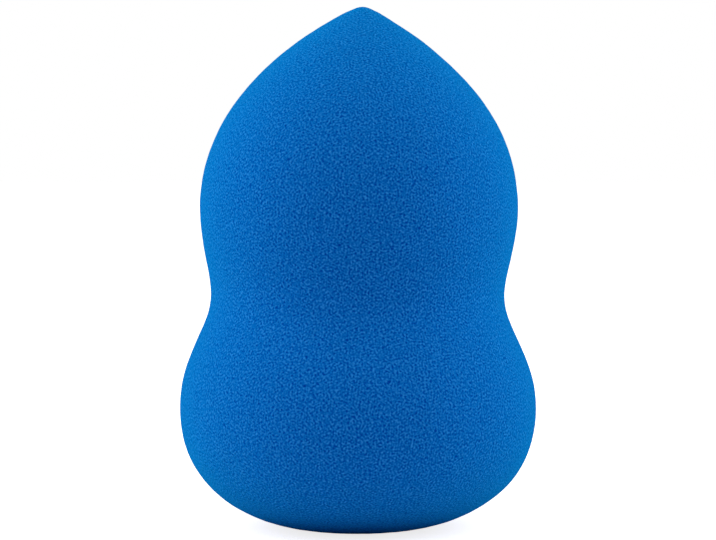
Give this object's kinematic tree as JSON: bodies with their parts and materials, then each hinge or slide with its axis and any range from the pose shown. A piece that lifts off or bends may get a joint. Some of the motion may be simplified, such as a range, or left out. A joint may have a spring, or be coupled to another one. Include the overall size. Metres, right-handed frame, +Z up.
{
  "type": "makeup sponge",
  "caption": "Gourd-shaped foam sponge for applying makeup, with a flat foot, a waist to hold it by and a pointed tip.",
  "frame": {"origin": "the middle of the flat foot that the sponge stands on", "axes": "+Z runs up the sponge's own axis from the foot to the tip; the sponge is round about it, so X and Y are alike"},
  "size_m": [0.041, 0.041, 0.06],
  "materials": {
    "foam": "matte"
  },
  "bodies": {
    "root": {"sponge_body": "foam"}
  },
  "joints": []
}
